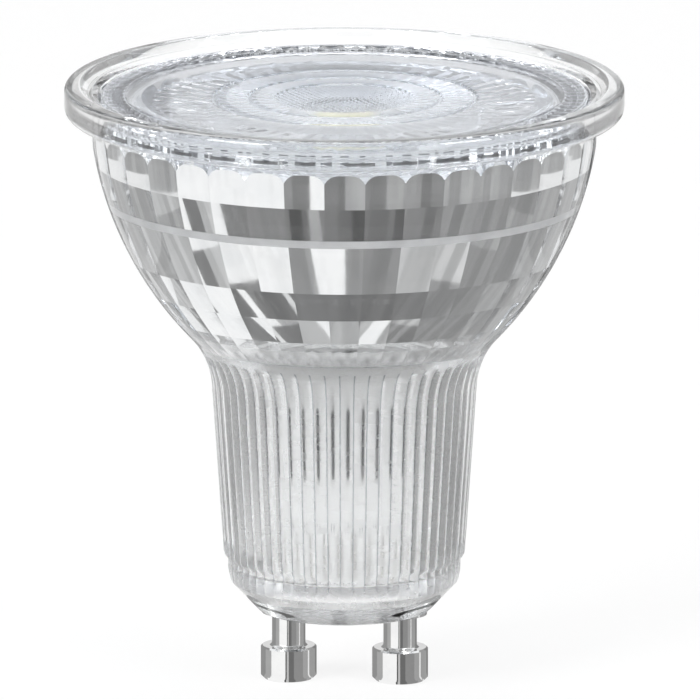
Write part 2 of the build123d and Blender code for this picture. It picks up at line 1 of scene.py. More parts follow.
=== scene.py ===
# %% [markdown]
# A glass LED reflector bulb
#
# This lesson dresses a CAD model of a two-pin reflector bulb for a studio picture. The bulb is a
# pressed glass bowl with silvered facets inside, a reeded neck, a clear moulded lens in front,
# and two turned pins that twist into a lampholder. The CAD gives every size, so the scene starts
# by loading it. Light passes through many faces of glass here, so the paths of light may have
# many bounces.

import math
import random

import bmesh
import bpy
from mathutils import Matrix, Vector


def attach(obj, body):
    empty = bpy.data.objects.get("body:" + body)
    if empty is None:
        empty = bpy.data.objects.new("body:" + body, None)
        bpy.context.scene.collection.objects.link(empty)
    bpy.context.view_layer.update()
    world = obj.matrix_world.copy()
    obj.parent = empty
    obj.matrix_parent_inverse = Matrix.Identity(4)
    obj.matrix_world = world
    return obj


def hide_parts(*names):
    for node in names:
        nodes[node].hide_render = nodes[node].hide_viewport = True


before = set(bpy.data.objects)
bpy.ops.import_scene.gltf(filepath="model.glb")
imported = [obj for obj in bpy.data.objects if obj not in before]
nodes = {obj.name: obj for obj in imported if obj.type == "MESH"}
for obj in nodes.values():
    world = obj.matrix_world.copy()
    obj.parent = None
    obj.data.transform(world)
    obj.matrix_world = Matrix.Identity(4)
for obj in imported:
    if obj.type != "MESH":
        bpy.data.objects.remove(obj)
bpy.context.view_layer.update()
scene = bpy.context.scene
scene.view_settings.view_transform = "Standard"
scene.cycles.max_bounces = 24
scene.cycles.diffuse_bounces = 10
scene.cycles.glossy_bounces = 16
scene.cycles.transmission_bounces = 24
scene.cycles.transparent_max_bounces = 24
MM = 0.001
print("CAD nodes:", len(nodes))

# %% [markdown]
# ## Camera
#
# The picture is taken with a long lens from a little above the rim, almost straight on, so the
# two sides of the bulb stay parallel. A short lens close by would make the rim look too wide.
# The camera is placed by angles round a target point near the bulb's axis.

# %% Camera
CAMERA_TURN, CAMERA_RISE = 4.9, 12.5
AZIMUTH = math.radians(CAMERA_TURN)
ELEVATION = math.radians(CAMERA_RISE)
DISTANCE = 3.0
FIELD = 62.5 * MM
SENSOR = 36.0
AIM_RIGHT, AIM_UP = 0.5 * MM, 30.1 * MM

camera_data = bpy.data.cameras.new("long_lens")
camera_data.sensor_width = SENSOR
camera_data.lens = SENSOR * DISTANCE / FIELD
camera_data.clip_start = 0.1
camera_data.clip_end = 20.0
camera = bpy.data.objects.new("long_lens", camera_data)
scene.collection.objects.link(camera)
look_back = Vector((
    math.sin(AZIMUTH) * math.cos(ELEVATION),
    -math.cos(AZIMUTH) * math.cos(ELEVATION),
    math.sin(ELEVATION),
))
look_right = Vector((math.cos(AZIMUTH), math.sin(AZIMUTH), 0.0))
target = look_right * AIM_RIGHT + Vector((0.0, 0.0, AIM_UP))
camera.location = target + look_back * DISTANCE
camera.rotation_euler = look_back.to_track_quat("Z", "Y").to_euler()
scene.camera = camera
print("lens mm:", round(camera_data.lens))

# %% [markdown]
# ## Shared effects
#
# Real surfaces are never one even value. Three small node groups give that unevenness and are
# placed in many materials: a speckle for gloss, a mottle between two colours, and a relief for
# bumps. They read object coordinates, which here are metres in the bulb's own frame, so a scale
# of 1000 makes spots of about a millimetre.


# %% Node helpers
FLOAT, COLOUR = "NodeSocketFloat", "NodeSocketColor"


def add_node(tree, kind, **values):
    """A new node with some of its properties set."""
    node = tree.nodes.new(kind)
    for name, value in values.items():
        setattr(node, name, value)
    return node


def wire(tree, *pairs):
    """Links from outputs to inputs."""
    for source, goal in pairs:
        tree.links.new(source, goal)


def new_group(name, inputs, outputs):
    """An empty node group with its sockets, its entry and its exit."""
    group = bpy.data.node_groups.new(name, "ShaderNodeTree")
    for label, kind in inputs:
        group.interface.new_socket(label, in_out="INPUT", socket_type=kind)
    for label, kind in outputs:
        group.interface.new_socket(label, in_out="OUTPUT", socket_type=kind)
    return group, add_node(group, "NodeGroupInput"), add_node(group, "NodeGroupOutput")


def group_noise(group, entry, detail):
    """Noise in object coordinates, at the group's own scale."""
    where = add_node(group, "ShaderNodeTexCoord")
    noise = add_node(group, "ShaderNodeTexNoise")
    noise.inputs["Detail"].default_value = detail
    wire(group, (where.outputs["Object"], noise.inputs["Vector"]),
         (entry.outputs["Scale"], noise.inputs["Scale"]))
    return noise


def spread_noise(group, entry, detail, low, high):
    """Noise with the part between two values stretched to a full range."""
    noise = group_noise(group, entry, detail)
    spread = add_node(group, "ShaderNodeMapRange")
    spread.inputs["From Min"].default_value = low
    spread.inputs["From Max"].default_value = high
    wire(group, (noise.outputs["Fac"], spread.inputs["Value"]))
    return spread


print("node helpers:", add_node.__name__, wire.__name__, new_group.__name__)

# %% Speckle, mottle and relief
speckle, entry, leave = new_group(
    "speckle", [("Scale", FLOAT), ("Low", FLOAT), ("High", FLOAT)], [("Value", FLOAT)])
spread = spread_noise(speckle, entry, 3.0, 0.3, 0.7)
wire(speckle,
     (entry.outputs["Low"], spread.inputs["To Min"]),
     (entry.outputs["High"], spread.inputs["To Max"]),
     (spread.outputs["Result"], leave.inputs["Value"]))

mottle, entry, leave = new_group(
    "mottle", [("Scale", FLOAT), ("Light", COLOUR), ("Dark", COLOUR)], [("Color", COLOUR)])
spread = spread_noise(mottle, entry, 4.0, 0.35, 0.65)
blend = add_node(mottle, "ShaderNodeMix", data_type="RGBA")
wire(mottle,
     (spread.outputs["Result"], blend.inputs["Factor"]),
     (entry.outputs["Light"], blend.inputs["A"]),
     (entry.outputs["Dark"], blend.inputs["B"]),
     (blend.outputs["Result"], leave.inputs["Color"]))

relief, entry, leave = new_group("relief", [("Scale", FLOAT)], [("Height", FLOAT)])
noise = group_noise(relief, entry, 2.0)
wire(relief, (noise.outputs["Fac"], leave.inputs["Height"]))
print("node groups:", [group.name for group in bpy.data.node_groups])

# %% [markdown]
# ## Painted dashes
#
# A row of dark dashes is painted on the sealant under the lens: a painted reflection of the
# edge of the silvered reflector seen through the lens. A fourth group makes them: the angle round
# the axis is cut into equal parts, noise makes the parts uneven, and a limit turns them into
# dashes. They lie on faces that look toward the axis and on the foot of the bead, and they are the
# same all round the bulb.

# %% Painted dashes
DASH_LIMIT = 1.12
BEAD_FOOT_Z = 52.12 * MM

# Painted reflection: dark dashes for the reflector's edge seen through the lens.
dashes, entry, leave = new_group(
    "dashes", [("Scale", FLOAT), ("Count", FLOAT), ("Low", FLOAT), ("High", FLOAT)],
    [("Value", FLOAT)])
noise = group_noise(dashes, entry, 1.0)
where = add_node(dashes, "ShaderNodeTexCoord")
split = add_node(dashes, "ShaderNodeSeparateXYZ")
turn = add_node(dashes, "ShaderNodeMath", operation="ARCTAN2")
times = add_node(dashes, "ShaderNodeMath", operation="MULTIPLY")
part = add_node(dashes, "ShaderNodeMath", operation="FRACT")
uneven = add_node(dashes, "ShaderNodeMath", operation="ADD")
dark = add_node(dashes, "ShaderNodeMath", operation="LESS_THAN")
dark.inputs[1].default_value = DASH_LIMIT
shape = add_node(dashes, "ShaderNodeNewGeometry")
outward = add_node(dashes, "ShaderNodeCombineXYZ")
facing = add_node(dashes, "ShaderNodeVectorMath", operation="DOT_PRODUCT")
inward = add_node(dashes, "ShaderNodeMath", operation="LESS_THAN")
inward.inputs[1].default_value = 0.0
low = add_node(dashes, "ShaderNodeMath", operation="LESS_THAN")
low.inputs[1].default_value = BEAD_FOOT_Z
either = add_node(dashes, "ShaderNodeMath", operation="MAXIMUM")
both = add_node(dashes, "ShaderNodeMath", operation="MULTIPLY")
spread = add_node(dashes, "ShaderNodeMapRange")
wire(dashes,
     (where.outputs["Object"], split.inputs["Vector"]),
     (split.outputs["Y"], turn.inputs[0]),
     (split.outputs["X"], turn.inputs[1]),
     (turn.outputs[0], times.inputs[0]),
     (entry.outputs["Count"], times.inputs[1]),
     (times.outputs[0], part.inputs[0]),
     (part.outputs[0], uneven.inputs[0]),
     (noise.outputs["Fac"], uneven.inputs[1]),
     (uneven.outputs[0], dark.inputs[0]),
     (split.outputs["X"], outward.inputs["X"]),
     (split.outputs["Y"], outward.inputs["Y"]),
     (shape.outputs["Normal"], facing.inputs[0]),
     (outward.outputs["Vector"], facing.inputs[1]),
     (facing.outputs["Value"], inward.inputs[0]),
     (split.outputs["Z"], low.inputs[0]),
     (inward.outputs[0], either.inputs[0]),
     (low.outputs[0], either.inputs[1]),
     (dark.outputs[0], both.inputs[0]),
     (either.outputs[0], both.inputs[1]),
     (both.outputs[0], spread.inputs["Value"]),
     (entry.outputs["Low"], spread.inputs["To Min"]),
     (entry.outputs["High"], spread.inputs["To Max"]),
     (spread.outputs["Result"], leave.inputs["Value"]))
print("nodes in the dashes:", len(dashes.nodes))

# %% [markdown]
# ## Finishes
#
# Every material is a Principled shader with the groups on its colour, gloss and bump. The glass and
# the lens keep plain transmission values. The silver is a metal on the inner faces of the glass:
# light goes in through the clear outside, meets the metal, and comes out again, which is how a real
# second-surface mirror works and why the facets look deep. The painted dashes of the sealant, a
# painted reflection, go into its alpha.


# %% Material helpers
def finish(name, light, dark, mottle_scale=900.0, rough=(0.3, 0.4), rough_scale=1500.0,
           bump=0.1, bump_scale=1200.0, depth=0.02, metallic=0.0):
    """A material with mottled colour, speckled gloss and a fine relief."""
    material = bpy.data.materials.new(name)
    material.use_nodes = True
    tree = material.node_tree
    shader = tree.nodes["Principled BSDF"]
    shader.inputs["Metallic"].default_value = metallic
    colour = add_node(tree, "ShaderNodeGroup", node_tree=mottle)
    colour.inputs["Scale"].default_value = mottle_scale
    colour.inputs["Light"].default_value = (*light, 1.0)
    colour.inputs["Dark"].default_value = (*dark, 1.0)
    gloss = add_node(tree, "ShaderNodeGroup", node_tree=speckle)
    gloss.inputs["Scale"].default_value = rough_scale
    gloss.inputs["Low"].default_value = rough[0]
    gloss.inputs["High"].default_value = rough[1]
    height = add_node(tree, "ShaderNodeGroup", node_tree=relief)
    height.inputs["Scale"].default_value = bump_scale
    bumps = add_node(tree, "ShaderNodeBump")
    bumps.inputs["Strength"].default_value = bump
    bumps.inputs["Distance"].default_value = depth * MM
    wire(tree,
         (colour.outputs["Color"], shader.inputs["Base Color"]),
         (gloss.outputs["Value"], shader.inputs["Roughness"]),
         (height.outputs["Height"], bumps.inputs["Height"]),
         (bumps.outputs["Normal"], shader.inputs["Normal"]))
    return material


def clear(material, ior):
    """Turns a finish into a clear one."""
    shader = material.node_tree.nodes["Principled BSDF"]
    shader.inputs["Transmission Weight"].default_value = 1.0
    shader.inputs["IOR"].default_value = ior
    return material


print("material helpers:", finish.__name__, clear.__name__)

# %% Finishes of the glass
GLASS_IOR = 1.5

pressed_glass = clear(finish(
    "pressed_glass", (0.995, 1.0, 1.0), (0.985, 0.992, 0.992), 120.0,
    rough=(0.0, 0.02), rough_scale=400.0, bump=0.08, bump_scale=260.0, depth=0.02), GLASS_IOR)
silvered_facet = finish(
    "silvered_facet", (0.93, 0.935, 0.94), (0.88, 0.89, 0.9), 300.0,
    rough=(0.02, 0.05), rough_scale=700.0, bump=0.2, bump_scale=240.0, depth=0.01, metallic=1.0)
soft_silver = finish(
    "soft_silver", (0.95, 0.955, 0.96), (0.9, 0.91, 0.92), 300.0,
    rough=(0.16, 0.22), rough_scale=700.0, bump=0.1, bump_scale=240.0, depth=0.01, metallic=1.0)
satin_bore = clear(finish(
    "satin_bore", (0.993, 0.996, 1.0), (0.98, 0.985, 0.99), 500.0,
    rough=(0.24, 0.3), rough_scale=900.0, bump=0.08, bump_scale=900.0, depth=0.02), GLASS_IOR)
# Grey tint of painted shade: it darkens the groove bottoms of the reeds and a thin ring at the flare.
painted_shade_glass = clear(finish(
    "painted_shade_glass", (0.5, 0.52, 0.55), (0.42, 0.44, 0.47), 700.0,
    rough=(0.2, 0.3), rough_scale=900.0, bump=0.1, bump_scale=900.0, depth=0.01), GLASS_IOR)
# Matt grey of the unsilvered ledge, partly painted shade: kept dark to draw the step's shaded line.
matt_ledge_and_shade = finish(
    "matt_ledge_and_shade", (0.6, 0.605, 0.615), (0.5, 0.505, 0.515), 400.0,
    rough=(0.35, 0.45), rough_scale=900.0, bump=0.2, bump_scale=600.0)
print("finishes so far:", len(bpy.data.materials))

# %% Finishes of the lens and its sealant
LENS_IOR = 1.49
DASHES_ROUND = 34.0

lens_horn = clear(finish(
    "satin_horn", (0.94, 0.965, 1.0), (0.92, 0.945, 1.0), 300.0,
    rough=(0.42, 0.5), rough_scale=900.0, bump=0.1, bump_scale=900.0, depth=0.01), LENS_IOR)
# Grey tint of painted shade on the clear border ring of the lens.
shaded_lens_border = clear(finish(
    "shaded_lens_border", (0.65, 0.665, 0.7), (0.62, 0.635, 0.67), 200.0,
    rough=(0.02, 0.05), rough_scale=900.0, bump=0.1, bump_scale=700.0, depth=0.01), LENS_IOR)
lens_plastic = clear(finish(
    "lens_plastic", (0.93, 0.965, 1.0), (0.91, 0.945, 1.0), 200.0,
    rough=(0.02, 0.05), rough_scale=900.0, bump=0.1, bump_scale=700.0, depth=0.01), LENS_IOR)
# The sealant's dark grey shows only in the dashes, a painted reflection; elsewhere it is almost
# clear.
clear_sealant = finish(
    "clear_sealant", (0.22, 0.225, 0.24), (0.13, 0.135, 0.15), 600.0,
    rough=(0.2, 0.35), bump=0.4, bump_scale=900.0, depth=0.05)
tree = clear_sealant.node_tree
painted_dash_alpha = add_node(tree, "ShaderNodeGroup", node_tree=dashes)
painted_dash_alpha.inputs["Scale"].default_value = 160.0
painted_dash_alpha.inputs["Count"].default_value = DASHES_ROUND / (2 * math.pi)
painted_dash_alpha.inputs["Low"].default_value = 0.06
painted_dash_alpha.inputs["High"].default_value = 0.85
wire(tree, (painted_dash_alpha.outputs["Value"], tree.nodes["Principled BSDF"].inputs["Alpha"]))
print("finishes so far:", len(bpy.data.materials))

# %% Finishes of the pins and the parts inside
nickel = finish(
    "nickel_plate", (0.93, 0.93, 0.925), (0.88, 0.88, 0.88), 700.0,
    rough=(0.05, 0.1), rough_scale=2500.0, bump=0.08, bump_scale=1800.0, depth=0.01, metallic=1.0)
aluminium = finish(
    "pressed_aluminium", (0.93, 0.935, 0.94), (0.87, 0.875, 0.88), 500.0,
    rough=(0.28, 0.42), rough_scale=2600.0, bump=0.2, bump_scale=3000.0, metallic=1.0)
white_mask = finish(
    "white_solder_mask", (0.97, 0.97, 0.965), (0.94, 0.94, 0.935), 350.0,
    rough=(0.25, 0.38), bump=0.15, bump_scale=2200.0)
white_silicone = finish(
    "white_silicone", (0.94, 0.94, 0.93), (0.9, 0.9, 0.88), 1500.0, rough=(0.35, 0.5))
phosphor_gel = finish(
    "phosphor_gel", (0.96, 0.89, 0.62), (0.94, 0.85, 0.52), 2600.0, rough=(0.3, 0.45), bump=0.25)
tin_solder = finish(
    "tin_solder", (0.78, 0.79, 0.8), (0.66, 0.67, 0.68), 1800.0, rough=(0.18, 0.3), metallic=1.0)
black_sleeve = finish(
    "black_sleeve", (0.17, 0.17, 0.175), (0.12, 0.12, 0.125), 800.0,
    rough=(0.35, 0.5), bump=0.5, bump_scale=500.0, depth=0.05)
can_sleeve = finish(
    "can_sleeve", (0.07, 0.08, 0.12), (0.05, 0.055, 0.085), 700.0, rough=(0.2, 0.3))
black_epoxy = finish(
    "black_epoxy", (0.045, 0.045, 0.046), (0.03, 0.03, 0.031), 2500.0,
    rough=(0.5, 0.62), bump=0.4, bump_scale=4000.0)
red_dip = finish(
    "red_dip", (0.5, 0.1, 0.06), (0.4, 0.07, 0.045), 700.0,
    rough=(0.18, 0.3), bump=0.3, bump_scale=400.0)
green_coat = finish(
    "resistor_coat", (0.46, 0.61, 0.62), (0.4, 0.54, 0.56), 900.0, rough=(0.45, 0.6), bump=0.3)
chip_glaze = finish(
    "chip_glaze", (0.07, 0.07, 0.08), (0.05, 0.05, 0.055), 2000.0, rough=(0.2, 0.3))
tinned = finish(
    "tinned_wire", (0.76, 0.75, 0.73), (0.68, 0.67, 0.65), 1600.0, rough=(0.2, 0.32), metallic=1.0)
print("finishes:", len(bpy.data.materials))

# %% [markdown]
# ## Outlines and rings
#
# Glass and plastic parts of a lamp are turned shapes, so each starts as an outline of radius and
# height in millimetres. A moulded corner is never sharp: a helper replaces each corner by a short
# arc, which gives the thin bright lines that make glass look like glass. Each point of an outline
# then becomes a ring of points round the axis, and faces join each ring to the next.


# %% Outline helpers
def rounded(points, steps=5):
    """An outline of (radius, height) points from corners of (radius, height, corner radius)."""
    out = []
    for i, (r, z, soft) in enumerate(points):
        if soft <= 0 or i == 0 or i == len(points) - 1:
            out.append((r, z))
            continue
        corner = Vector((r, z))
        before = (Vector(points[i - 1][:2]) - corner).normalized()
        after = (Vector(points[i + 1][:2]) - corner).normalized()
        half = before.angle(after) / 2
        reach = soft / math.tan(half)
        centre = corner + (before + after).normalized() * (soft / math.sin(half))
        start = corner + before * reach - centre
        turn = start.angle_signed(corner + after * reach - centre)
        for k in range(steps + 1):
            a = -turn * k / steps
            c, s = math.cos(a), math.sin(a)
            out.append((centre.x + start.x * c - start.y * s, centre.y + start.x * s + start.y * c))
    return out


def arc_points(start, middle, end, steps):
    """Points on the arc through three (radius, height) points."""
    (r1, z1), (r2, z2), (r3, z3) = start, middle, end
    s1, s2, s3 = r1 * r1 + z1 * z1, r2 * r2 + z2 * z2, r3 * r3 + z3 * z3
    turn = 2 * (r1 * (z2 - z3) + r2 * (z3 - z1) + r3 * (z1 - z2))
    cr = (s1 * (z2 - z3) + s2 * (z3 - z1) + s3 * (z1 - z2)) / turn
    cz = (s1 * (r3 - r2) + s2 * (r1 - r3) + s3 * (r2 - r1)) / turn
    radius = math.hypot(r1 - cr, z1 - cz)
    low, high = math.atan2(z1 - cz, r1 - cr), math.atan2(z3 - cz, r3 - cr)
    angles = [low + (high - low) * k / steps for k in range(steps + 1)]
    return [(cr + radius * math.cos(a), cz + radius * math.sin(a)) for a in angles]


print("a rounded corner has", len(rounded([(0, 0, 0), (1, 0, 0.2), (1, 1, 0)])) - 2, "points")


# %% Ring helpers
def round_ring(bm, sides, radius, z, steps=(0.0,)):
    """A ring of points, placed by steps in each pitch; radius and height may depend on the angle."""
    ring = []
    count = len(steps)
    for i in range(sides):
        a = 2 * math.pi * (i // count + steps[i % count]) * count / sides
        r = radius(a) if callable(radius) else radius
        h = z(a) if callable(z) else z
        ring.append(bm.verts.new((r * math.cos(a) * MM, r * math.sin(a) * MM, h * MM)))
    return ring


def join_rings(bm, first, second, material, smooth):
    """Faces between two rings; the second may have several points to each of the first."""
    n, ratio = len(first), len(second) // len(first)
    for i in range(n):
        fine = [second[(i * ratio + k) % len(second)] for k in range(ratio + 1)]
        face = bm.faces.new([first[i], first[(i + 1) % n]] + fine[::-1])
        face.material_index = material
        face.smooth = smooth


def close_with_point(bm, ring, point):
    """Smooth faces from a ring to a point on the axis."""
    for i in range(len(ring)):
        bm.faces.new((ring[i], ring[(i + 1) % len(ring)], point)).smooth = True


def open_edges(bm):
    """The number of edges that don't join two faces, none in a closed shape."""
    return sum(len(edge.link_faces) != 2 for edge in bm.edges)


def new_piece(name, bm, materials):
    """Turns a finished shape into an object with its materials."""
    mesh = bpy.data.meshes.new(name)
    bm.to_mesh(mesh)
    bm.free()
    for material in materials:
        mesh.materials.append(material)
    piece = bpy.data.objects.new(name, mesh)
    scene.collection.objects.link(piece)
    return piece


print("ring helpers:", round_ring.__name__, join_rings.__name__, close_with_point.__name__)

# %% [markdown]
# ## The glass outside
#
# The outside runs from the flat under the foot, over the chamfer, up the reeds of the neck, round
# the flare, up the bowl and over the rim to the seat of the lens. The reeds are 60 round ribs.
# They could be a bump map, but they bend what is seen through the neck, so they are real: each
# ring of points is pulled in between the crests by a depth that changes with height. The two
# narrow faces at the bottom of each groove have a grey tint of painted shade, which draws the thin
# dark line that separates one reed from the next.

# %% Glass outside: outline
REEDS = 60
REED_PITCH = 2 * math.pi / REEDS
REED_STEPS = (0.0, 0.16, 0.32, 0.45, 0.5, 0.55, 0.68, 0.84)
PER_REED = len(REED_STEPS)
SIDES = REEDS * PER_REED
FOOT_Z = 6.6
NECK_LOW, NECK_HIGH = (10.75, 11.3), (11.83, 27.0)
FLARE_R = 7.6
FLARE_END = math.radians(41.3)
FLARE_STEPS = 22
BOWL_MID, BOWL_TOP, BOWL_STEPS = (19.66, 40.0), (22.56, 49.6), 26
RIM_R, RIM_TOP = 24.99, 54.395

foot = rounded([(4.0, FOOT_Z, 0), (7.7, FOOT_Z, 0.5), (10.2, 9.25, 0.5), (10.4, 10.2, 0)], 6)[1:]
step = [(10.4, 10.7), (10.4, 11.25), (10.52, 11.42), (10.7, 11.62), (10.785, 11.8)]
neck_wider, neck_length = NECK_HIGH[0] - NECK_LOW[0], NECK_HIGH[1] - NECK_LOW[1]
neck = [(NECK_LOW[0] + neck_wider * (z - NECK_LOW[1]) / neck_length, z)
        for z in (12.6, 15.0, 18.0, 21.0, 24.0, 26.0)]
tilt = math.atan2(neck_wider, neck_length)
flare_r = NECK_HIGH[0] + FLARE_R * math.cos(tilt)
flare_z = NECK_HIGH[1] - FLARE_R * math.sin(tilt)
flare_end = (flare_r - FLARE_R * math.cos(FLARE_END), flare_z + FLARE_R * math.sin(FLARE_END))
flare_rows = []
for k in range(FLARE_STEPS + 1):
    a = tilt + (FLARE_END - tilt) * k / FLARE_STEPS
    flare_rows.append((flare_r - FLARE_R * math.cos(a), flare_z + FLARE_R * math.sin(a)))
bowl = arc_points(flare_end, BOWL_MID, BOWL_TOP, BOWL_STEPS)[1:]
rim = rounded([
    (*BOWL_TOP, 0), (22.66, 51.6, 0.3), (RIM_R, 51.6, 0.9), (RIM_R, RIM_TOP, 0.6),
    (23.6, RIM_TOP, 0.4), (22.87, 53.75, 0.12), (22.5, 53.75, 0.12), (22.0, 53.4, 0.1),
    (22.0, 51.9, 0.1), (20.1, 51.9, 0)], 6)[1:]
outside = foot + step + neck + flare_rows + bowl + rim
print("rows outside:", len(outside), "flare ends at", [round(v, 2) for v in flare_end])

# %% Glass outside: reeds
CLEAR, SILVER, LEDGE_AND_SHADE, SATIN, PAINTED_SHADE, SOFT = range(6)
GROOVE_LEAST = 0.05
reed_depths = [(9.0, 0.0), (9.6, 0.02), (10.3, 0.1), (11.3, 0.13), (11.8, 0.32), (27.0, 0.32),
               (29.5, 0.3), (30.2, 0.2), (30.6, 0.0), (60.0, 0.0)]


def reed_depth(z):
    """How deep the grooves between the reeds are at a height."""
    for (z1, d1), (z2, d2) in zip(reed_depths, reed_depths[1:]):
        if z1 <= z <= z2:
            return d1 + (d2 - d1) * (z - z1) / (z2 - z1)
    return 0.0


def reeded(radius, depth):
    """The radius at each angle, pulled in between the crests."""
    return lambda a: radius - depth * (2 * abs((a / REED_PITCH + 0.5) % 1 - 0.5)) ** 2


glass = bmesh.new()
rings = []
for r, z in outside:
    depth = reed_depth(z)
    rings.append(round_ring(glass, SIDES, reeded(r, depth) if depth > 0 else r, z, REED_STEPS))
for below, above in zip(rings, rings[1:]):
    join_rings(glass, below, above, CLEAR, True)
    # The faces beside each groove get the grey tint, painted shade in the crease.
    if reed_depth(below[0].co.z / MM) > GROOVE_LEAST:
        for i in range(PER_REED // 2, SIDES, PER_REED):
            groove = glass.edges.get((below[i], above[i]))
            groove.smooth = False
            for face in groove.link_faces:
                face.material_index = PAINTED_SHADE
print("outside faces:", len(glass.faces))

# %% [markdown]
# ## The glass inside
#
# Inside, the bowl has rows of 36 flat facets pressed into the glass. Each row is a ring of corners,
# joined to the next ring by flat four-sided faces. The top row ends in little arches, where the
# facets run out into the round bore under the lens, and two V grooves run round that bore. A matt
# ledge, which carries the heat spreader, lies under the second row; its grey is partly an
# unsilvered band and partly painted shade at the step. Below it come four more rows of silver and a
# last one of softer silver. A thin ring with a grey tint of painted shade ends the bowl and draws a
# dark line at the flare, and the neck is satin.

# %% Glass inside: facet helpers
FACETS = 36
PER_FACET = 12
RING = FACETS * PER_FACET
BORE_R, BORE_TOP = 20.1, 51.9
ROW_R, ROW_Z, ROW_LEAN = 19.73, 47.5, 0.12
ARCH_TOP, ARCH_DROP = 50.6, 0.8


def corner_ring(bm, z, apothem):
    """Corners of one ring of facets."""
    return round_ring(bm, FACETS, apothem / math.cos(math.pi / FACETS), z)


def arch_z(a):
    """Height of the rounded top of a facet in the first row."""
    off = abs(2 * ((a * FACETS / (2 * math.pi)) % 1) - 1)
    return ARCH_TOP - ARCH_DROP * off ** 4


def arch_r(a):
    """Radius at which that top lies in the flat of its facet."""
    pitch = 2 * math.pi / FACETS
    return (ROW_R + ROW_LEAN * (arch_z(a) - ROW_Z)) / math.cos((a % pitch) - pitch / 2)


print("facets in a row:", FACETS)

# %% Glass inside: bore, facets and ledge
V_GROOVES = (51.6, 51.2)
V_HALF, V_DEEP = 0.12, 0.14
LEDGE_R, LEDGE_TOP, LEDGE_LOW = 18.88, 44.6, 43.9
ROW_OVER_LEDGE_R, ROW_UNDER_LEDGE_R = 18.95, 18.3
rows = ((39.5, 16.6, SILVER), (36.85, 15.0, SILVER), (34.5, 13.2, SILVER), (33.6, 12.35, SILVER),
        (32.02, 10.96, SOFT))

bore_top = round_ring(glass, RING, BORE_R, BORE_TOP)
arch = round_ring(glass, RING, arch_r, arch_z)
above = bore_top
for groove_z in V_GROOVES:
    for deep, z in ((0, groove_z + V_HALF), (V_DEEP, groove_z), (0, groove_z - V_HALF)):
        ring = round_ring(glass, RING, BORE_R + deep, z)
        join_rings(glass, above, ring, CLEAR, False)
        above = ring
join_rings(glass, above, arch, CLEAR, True)
row_2 = corner_ring(glass, ROW_Z, ROW_R)
ledge_top = corner_ring(glass, LEDGE_TOP, ROW_OVER_LEDGE_R)
join_rings(glass, row_2, arch, SILVER, False)
join_rings(glass, ledge_top, row_2, SILVER, False)
wall_high = round_ring(glass, RING, LEDGE_R, LEDGE_TOP)
wall_low = round_ring(glass, RING, LEDGE_R, LEDGE_LOW)
# The ledge faces take that grey, partly painted shade at the step.
join_rings(glass, ledge_top, wall_high, LEDGE_AND_SHADE, False)
join_rings(glass, wall_high, wall_low, LEDGE_AND_SHADE, True)
row_3 = corner_ring(glass, LEDGE_LOW, ROW_UNDER_LEDGE_R)
join_rings(glass, row_3, wall_low, LEDGE_AND_SHADE, False)
above = row_3
for z, apothem, coat in rows:
    below = corner_ring(glass, z, apothem)
    join_rings(glass, below, above, coat, False)
    above = below
print("faces with the facets:", len(glass.faces))

# %% Glass inside: neck
FLOOR_Z = 8.8
RING_END = 31.9
inside = rounded([
    (11.82, 33.0, 0), (10.85, RING_END, 0.9), (9.6, 28.6, 9.0), (8.9, 10.6, 0.6),
    (7.2, FLOOR_Z, 0)], 8)[1:]
smooth_rings = [round_ring(glass, RING, r, z) for r, z in inside]
# The thin ring from the last row down to the neck gets the same grey tint of painted shade.
join_rings(glass, above, smooth_rings[0], PAINTED_SHADE, False)
for (r, z), first, second in zip(inside, smooth_rings, smooth_rings[1:]):
    join_rings(glass, first, second, PAINTED_SHADE if z > RING_END else SATIN, True)
print("all faces so far:", len(glass.faces))

# %% [markdown]
# ## Closing the glass
#
# The seat under the lens joins the outside to the bore. The floor of the neck and the flat under
# the foot are discs with two holes for the tails of the pins. A fill that knows about holes makes
# each disc from its edge loops.

# %% Glass: seat, floor and pin holes
PIN_X = 5.0
HOLE_R, HOLE_SIDES = 1.45, 48


def loop_edges(bm, ring):
    """The edges round a ring of points, made where they are missing."""
    pairs = zip(ring, ring[1:] + ring[:1])
    return [bm.edges.get(pair) or bm.edges.new(pair) for pair in pairs]


def hole_ring(bm, x, z):
    """The edge of a pin hole."""
    ring = []
    for i in range(HOLE_SIDES):
        a = 2 * math.pi * i / HOLE_SIDES
        place = ((x + HOLE_R * math.cos(a)) * MM, HOLE_R * math.sin(a) * MM, z * MM)
        ring.append(bm.verts.new(place))
    return ring


seat_edges = loop_edges(glass, rings[-1]) + loop_edges(glass, bore_top)
bmesh.ops.bridge_loops(glass, edges=seat_edges)
low_holes = [hole_ring(glass, side * PIN_X, FOOT_Z) for side in (-1, 1)]
high_holes = [hole_ring(glass, side * PIN_X, FLOOR_Z) for side in (-1, 1)]
for low_hole, high_hole in zip(low_holes, high_holes):
    join_rings(glass, high_hole, low_hole, CLEAR, True)
for disc, holes in ((rings[0], low_holes), (smooth_rings[-1], high_holes)):
    edges = loop_edges(glass, disc)
    for hole in holes:
        edges += loop_edges(glass, hole)
    filled = bmesh.ops.triangle_fill(glass, edges=edges, use_beauty=True, use_dissolve=False)
    for face in filled["geom"]:
        if isinstance(face, bmesh.types.BMFace):
            face.material_index = SATIN
bmesh.ops.recalc_face_normals(glass, faces=glass.faces)
print("open edges of the glass:", open_edges(glass))
glass_shell = new_piece("glass_shell", glass, (
    pressed_glass, silvered_facet, matt_ledge_and_shade, satin_bore, painted_shade_glass, soft_silver))
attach(glass_shell, "root")
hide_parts("glass_body")
print("glass faces:", len(glass_shell.data.polygons))

